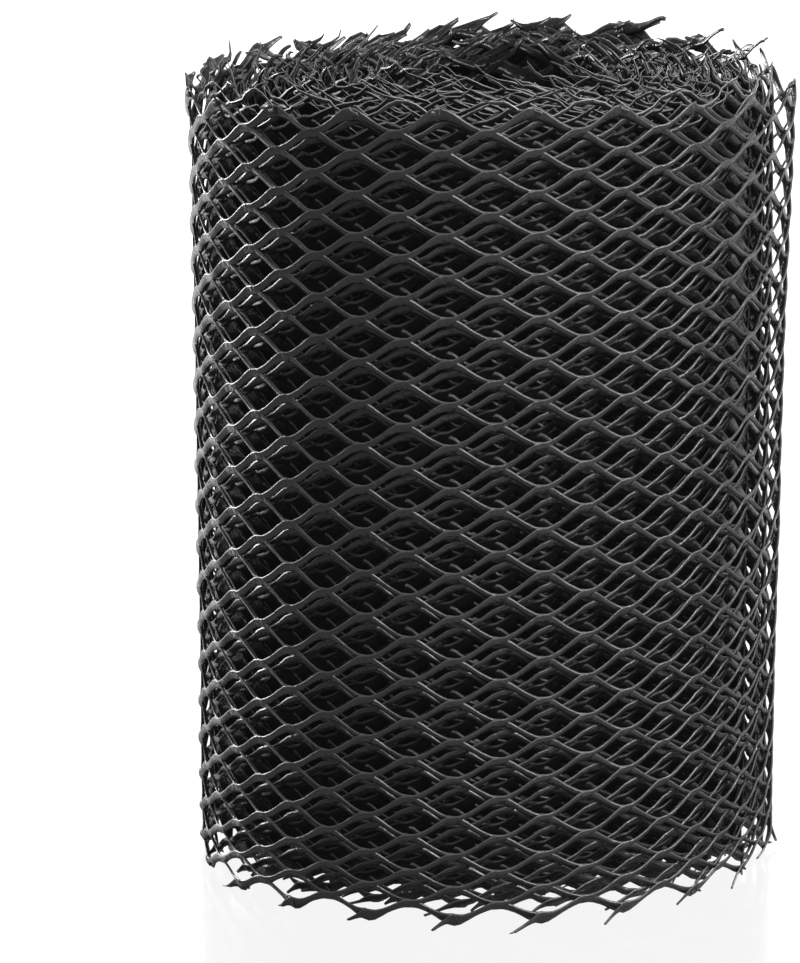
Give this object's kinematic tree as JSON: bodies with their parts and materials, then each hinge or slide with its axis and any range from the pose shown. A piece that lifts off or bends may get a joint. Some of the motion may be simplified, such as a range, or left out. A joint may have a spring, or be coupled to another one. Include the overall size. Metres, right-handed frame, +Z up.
{
  "type": "gutter guard mesh roll",
  "caption": "Roll of black plastic diamond netting for covering gutters, loosely wound round an open hollow and stood on end, with ragged cut edges.",
  "frame": {"origin": "centre of the bounding box at the surface the roll stands on", "axes": "+Z up along the axis of the roll, -Y towards the camera of the picture, +X to the picture's right"},
  "size_m": [0.1504, 0.1464, 0.2075],
  "materials": {
    "mesh_plastic": "black extruded polyethylene with a dull satin sheen, brighter along the strand edges"
  },
  "bodies": {
    "root": {"wound_netting": "mesh_plastic"}
  },
  "joints": []
}
